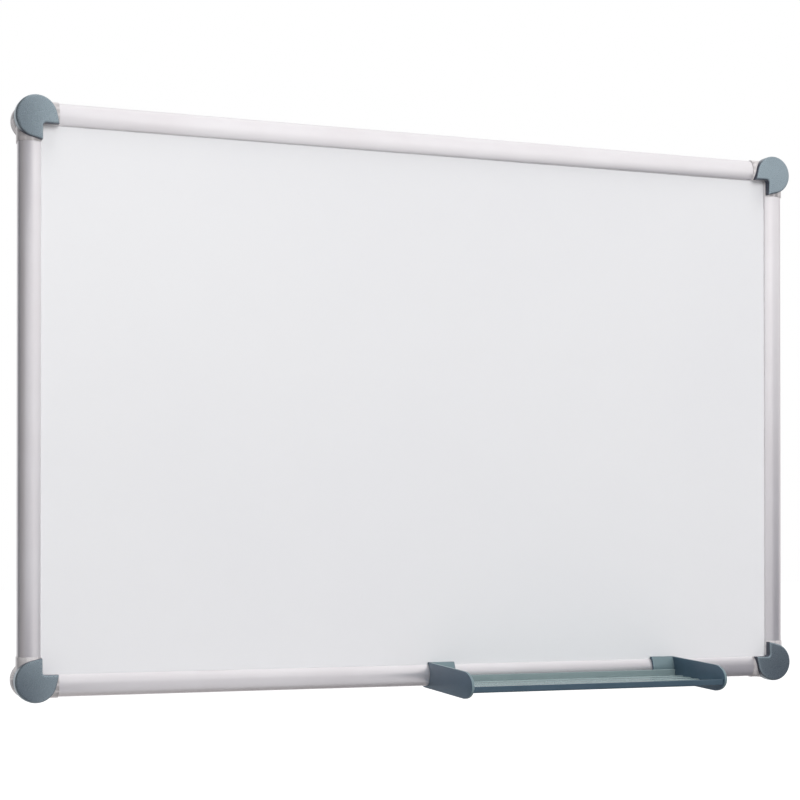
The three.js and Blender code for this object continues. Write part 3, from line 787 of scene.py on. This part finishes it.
# Light: the tent's level, and each softbox's place, aim, size and watts
TENT_LIGHT = 0.26
FRONT_SOFTBOX = ((0.4, -8, 3), (0, 0, 0), (4.5, 4.5), 450)
TOP_SOFTBOX = ((0.1, -1.6, 6), (0.1, 0, -0.2), (3, 2.4), 150)
# Floor: how far under the board and how wide, its grey, and what the camera sees it lifted by
FLOOR_DROP, FLOOR_REACH, FLOOR_GREY, FLOOR_LIFT = 0.7, 30, 0.55, 0.9
# Left card: its place along X, its ends along Y, and half its height
LEFT_CARD, LEFT_CARD_NEAR, LEFT_CARD_FAR, LEFT_CARD_TALL = -0.6, -0.02, -1.6, 1
# Front card: its place along Y, and its ends along X and Z. The under card starts at its foot.
FRONT_CARD, CARD_LEFT, CARD_RIGHT, CARD_LOW, CARD_HIGH = -0.3, -1.2, 2.2, -0.8, 0.5


def set_camera():
    """The camera of the photograph, with its principal point as a shift of the lens."""
    camera = add_object("camera", bpy.data.cameras.new("camera"))
    camera.data.sensor_width = SENSOR
    camera.data.lens = LENS_PIXELS / PHOTO_SIZE * SENSOR
    half = PHOTO_SIZE / 2
    camera.data.shift_x = (half - CENTRE_PIXEL[0]) / PHOTO_SIZE
    camera.data.shift_y = (CENTRE_PIXEL[1] - half) / PHOTO_SIZE
    camera.data.clip_start = 10 * MM
    camera.data.clip_end = 100
    ahead = Vector((
        math.sin(CAMERA_YAW) * math.cos(CAMERA_PITCH),
        math.cos(CAMERA_YAW) * math.cos(CAMERA_PITCH),
        math.sin(CAMERA_PITCH),
    ))
    turn = ahead.to_track_quat("-Z", "Y").to_matrix().to_4x4()
    camera.matrix_world = Matrix.Translation(CAMERA_PLACE) @ turn
    bpy.context.scene.camera = camera


def add_softbox(name, place, aim, size, power):
    """A rectangular lamp aimed at a place, which shiny surfaces don't show."""
    lamp = bpy.data.lights.new(name, "AREA")
    lamp.shape = "RECTANGLE"
    lamp.size, lamp.size_y = size
    lamp.energy = power
    box = add_object(name, lamp)
    box.location = place
    box.rotation_euler = (Vector(aim) - Vector(place)).to_track_quat("-Z", "Y").to_euler()
    box.visible_glossy = False


def mirrored_tent(tree):
    """The tent's colour as shiny surfaces show it, by the way the ray goes: bright above and in front, a
    little darker below and at the far right, and shaded on the left, but less so straight behind."""
    ray = add_node(tree, "ShaderNodeTexCoord").outputs["Generated"]
    across, inward, up = add_node(tree, "ShaderNodeSeparateXYZ", Vector=ray).outputs
    level = spread(tree, up, 0, 1, start=-0.95, end=0.15)
    right = spread(tree, across, 0, 1, start=0.75, end=1)
    leftward = spread(tree, across, 1, 0, start=-0.45, end=-0.1)
    backward = spread(tree, inward, 0, 1, start=-0.4, end=0.1)
    aside = spread(tree, inward, 1, 0.15, start=0.6, end=0.95)
    left = combine(tree, "MULTIPLY", leftward, backward, aside)
    by_height = blend_colours(tree, level, linear(212, 208, 207), linear(250, 250, 251))
    rightward = blend_colours(tree, right, by_height, linear(214, 211, 213))
    return blend_colours(tree, left, rightward, linear(84, 86, 94))


def light_stage():
    """Two softboxes in a pale tent, which is white to the camera and shaded to shiny surfaces alone."""
    world = bpy.data.worlds.new("tent")
    bpy.context.scene.world = world
    world.use_nodes = True
    tree = world.node_tree
    tree.nodes.clear()
    rays = add_node(tree, "ShaderNodeLightPath").outputs
    reflected = add_node(tree, "ShaderNodeBackground", Color=mirrored_tent(tree), Strength=1.0)
    soft = add_node(tree, "ShaderNodeBackground", Color=WHITE, Strength=TENT_LIGHT)
    white = add_node(tree, "ShaderNodeBackground", Color=WHITE, Strength=1.0)
    unseen = blend_shaders(tree, rays["Is Glossy Ray"], soft.outputs[0], reflected.outputs[0])
    shown = blend_shaders(tree, rays["Is Camera Ray"], unseen, white.outputs[0])
    add_node(tree, "ShaderNodeOutputWorld", Surface=shown)
    add_softbox("front_softbox", *FRONT_SOFTBOX)
    add_softbox("top_softbox", *TOP_SOFTBOX)


def flat_sheet(name, corners, material):
    """A flat, four-cornered thing of the stage."""
    mesh = bpy.data.meshes.new(name)
    mesh.from_pydata(corners, [], [(0, 1, 2, 3)])
    mesh.materials.append(material)
    return add_object(name, mesh)


def stand_card(name, corners, bright, dark, patches):
    """A card that only shiny surfaces see, darkened in patches whose shades add up. The shade of a patch
    grows to its strength along each of its ways: an axis, where the shade begins and where it is full."""
    material = bpy.data.materials.new(name)
    material.use_nodes = True
    tree = material.node_tree
    tree.nodes.clear()
    place = add_node(tree, "ShaderNodeTexCoord").outputs["Object"]
    axes = add_node(tree, "ShaderNodeSeparateXYZ", Vector=place).outputs
    shades = []
    for strength, (axis, start, full), *others in patches:
        steps = [spread(tree, axes[way], 0, 1, begin, end) for way, begin, end in others]
        shades.append(combine(tree, "MULTIPLY", spread(tree, axes[axis], 0, strength, start, full), *steps))
    shade = combine(tree, "ADD", *shades)
    glow = add_node(tree, "ShaderNodeEmission", Color=blend_colours(tree, shade, bright, dark), Strength=1.0)
    add_node(tree, "ShaderNodeOutputMaterial", Surface=glow.outputs[0])
    card = flat_sheet(name, corners, material)
    for kind in ("camera", "diffuse", "shadow", "transmission", "volume_scatter"):
        setattr(card, f"visible_{kind}", False)


def shade_reflections():
    """The cards that shiny surfaces see: one on the left that darkens towards the board, one in front that
    darkens to the lower right and the far left, and one under the board that darkens to the right."""
    side, near, far, tall = LEFT_CARD, LEFT_CARD_NEAR, LEFT_CARD_FAR, LEFT_CARD_TALL
    corners = [(side, near, -tall), (side, far, -tall), (side, far, tall), (side, near, tall)]
    stand_card("left_card", corners, linear(238, 236, 236), linear(88, 86, 88), [(1, ("Y", far, 0))])
    ahead, left, right, low, high = FRONT_CARD, CARD_LEFT, CARD_RIGHT, CARD_LOW, CARD_HIGH
    corners = [(left, ahead, low), (right, ahead, low), (right, ahead, high), (left, ahead, high)]
    to_lower_right = (1, ("X", -0.95, 0.62), ("Z", 0.35, -0.3))
    at_far_left = (0.37, ("X", -0.35, -0.47))
    at_lower_left = (0.42, ("X", -0.3, -0.41), ("Z", -0.22, -0.31))
    at_upper_left = (0.52, ("X", -0.34, -0.41), ("Z", 0.2, 0.28), ("Z", 0.48, 0.38))
    lift_in_middle = (-0.18, ("X", 0.6, 0.45), ("X", -0.3, 0))
    patches = [to_lower_right, at_far_left, at_lower_left, at_upper_left, lift_in_middle]
    stand_card("front_card", corners, linear(249, 249, 250), linear(84, 84, 98), patches)
    corners = [(left, ahead, low), (right, ahead, low), (right, -ahead, low), (left, -ahead, low)]
    stand_card("under_card", corners, linear(190, 186, 184), linear(70, 70, 76), [(1, ("X", -0.6, 0.5))])


def lay_floor():
    """A pale floor well under the board, white to the camera wherever the board leaves it unshaded."""
    material, tree, shader = new_material("floor")
    camera_ray = add_node(tree, "ShaderNodeLightPath").outputs["Is Camera Ray"]
    set_sockets(
        tree, shader,
        Base_Color=(FLOOR_GREY, FLOOR_GREY, FLOOR_GREY, 1),
        Roughness=0.8,
        Emission_Color=WHITE,
        Emission_Strength=spread(tree, camera_ray, 0, FLOOR_LIFT, start=0, end=1),
    )
    reach, level = FLOOR_REACH, cad_box[0].z - FLOOR_DROP
    corners = [(-reach, -reach, level), (reach, -reach, level), (reach, reach, level), (-reach, reach, level)]
    floor = flat_sheet("floor", corners, material)
    floor.visible_glossy = False


set_camera()
dress_board()
lay_floor()
light_stage()
shade_reflections()
bpy.context.scene.view_settings.view_transform = "Standard"
